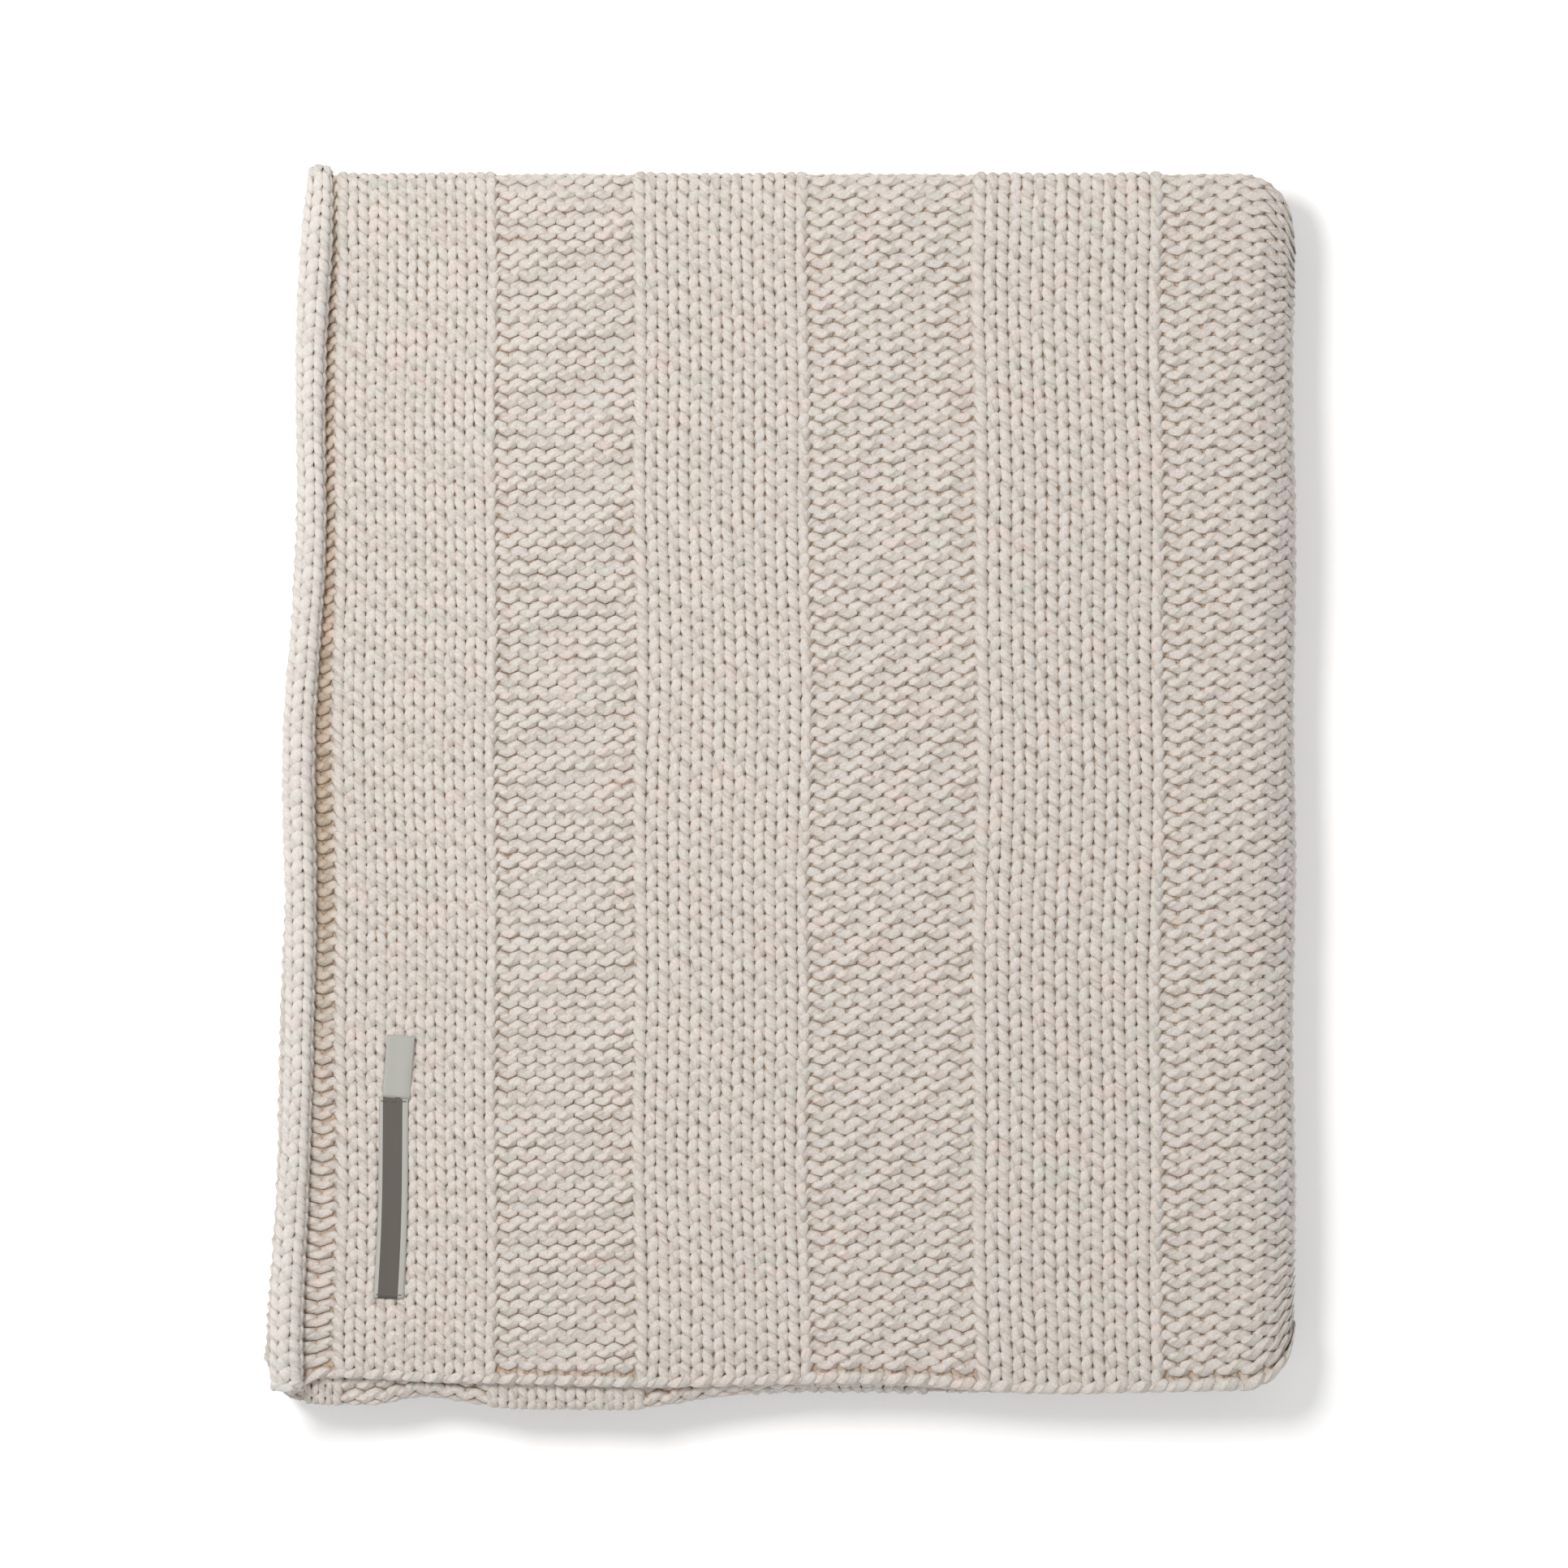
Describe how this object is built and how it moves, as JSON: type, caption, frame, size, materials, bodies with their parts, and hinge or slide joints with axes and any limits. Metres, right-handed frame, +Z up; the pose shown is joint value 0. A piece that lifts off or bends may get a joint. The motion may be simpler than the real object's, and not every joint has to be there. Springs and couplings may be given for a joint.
{
  "type": "folded throw blanket",
  "caption": "Chunky rib-knit throw folded to a flat rectangle, with one selvedge curled up, a blank woven label and a blank care tag.",
  "frame": {"origin": "middle of the footprint, on the resting face", "axes": "+X to the right across the ribs, +Y to the back along the ribs, +Z up"},
  "size_m": [0.4229, 0.508, 0.0514],
  "materials": {
    "knit_yarn": "soft matt cream two-ply yarn, chunky knit",
    "label_ribbon": "dark taupe woven ribbon with pale satin borders",
    "tag_satin": "light grey satin tape",
    "sewing_thread": "taupe sewing thread"
  },
  "bodies": {
    "base": {"base_third": "knit_yarn", "left_turn": "knit_yarn", "tucked_third": "knit_yarn", "right_turn": "knit_yarn"},
    "cover": {"cover_third": "knit_yarn", "selvedge_roll": "knit_yarn", "woven_label": "label_ribbon", "care_tag": "tag_satin", "label_stitches": "sewing_thread"}
  },
  "joints": [
    {"name": "cover_unfold", "type": "hinge", "parent": "base", "child": "cover", "pos_m": [0.20445, 0, 0.02145], "axis": [0, 1, 0], "range_deg": [0, 180], "deforming": ["right_turn"]}
  ]
}
